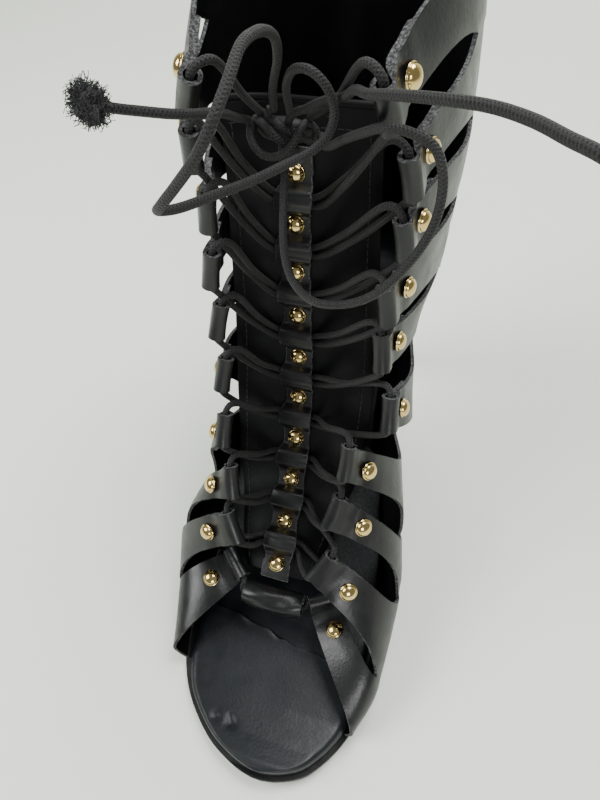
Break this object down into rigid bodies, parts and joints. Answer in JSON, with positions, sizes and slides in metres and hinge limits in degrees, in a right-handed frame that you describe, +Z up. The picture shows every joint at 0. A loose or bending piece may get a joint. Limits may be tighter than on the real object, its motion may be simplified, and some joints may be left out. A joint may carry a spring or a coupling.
{
  "type": "open-toe ankle boot",
  "caption": "Right high-heeled open-toe ankle boot cut into laced straps, with domed studs, a padded tongue with a centre strap, and an elastic lace tied in a bow.",
  "frame": {"origin": "middle of the bounding box of the boot without its free bow, at floor level", "axes": "+Z up, toe towards -Y, +X towards the inner side of the foot"},
  "size_m": [0.1206, 0.2168, 0.2151],
  "materials": {
    "strap_leather": "semi-gloss black leather, pale raw edges",
    "tongue_leather": "matte black leather",
    "lining_fabric": "grey textured lining",
    "insole_fabric": "matte slate-black padded sock",
    "sole_rubber": "matte",
    "heel_cover": "black leather-covered heel",
    "tip_rubber": "matte",
    "stud_metal": "polished pale gold",
    "lace_cord": "matte braided elastic"
  },
  "bodies": {
    "root": {"heel": "heel_cover", "heel_tip": "tip_rubber", "insole": "insole_fabric", "lace": "lace_cord", "lace_end_lateral": "lace_cord", "lace_end_medial": "lace_cord", "lace_knot": "lace_cord", "lace_loop_lateral": "lace_cord", "lace_loop_medial": "lace_cord", "outsole": "sole_rubber", "stud_front_01": "stud_metal", "stud_front_02": "stud_metal", "stud_front_03": "stud_metal", "stud_front_04": "stud_metal", "stud_front_05": "stud_metal", "stud_front_06": "stud_metal", "stud_front_07": "stud_metal", "stud_front_08": "stud_metal", "stud_front_09": "stud_metal", "stud_front_10": "stud_metal", "stud_lateral_01": "stud_metal", "stud_lateral_02": "stud_metal", "stud_lateral_03": "stud_metal", "stud_lateral_04": "stud_metal", "stud_lateral_05": "stud_metal", "stud_lateral_06": "stud_metal", "stud_lateral_07": "stud_metal", "stud_lateral_08": "stud_metal", "stud_lateral_09": "stud_metal", "stud_lateral_10": "stud_metal", "stud_medial_01": "stud_metal", "stud_medial_02": "stud_metal", "stud_medial_03": "stud_metal", "stud_medial_04": "stud_metal", "stud_medial_05": "stud_metal", "stud_medial_06": "stud_metal", "stud_medial_07": "stud_metal", "stud_medial_08": "stud_metal", "stud_medial_09": "stud_metal", "stud_medial_10": "stud_metal", "t_strap": "strap_leather", "tongue": "tongue_leather", "upper": "strap_leather", "vamp_lining": "lining_fabric", "vamp_roll": "strap_leather"}
  },
  "joints": []
}
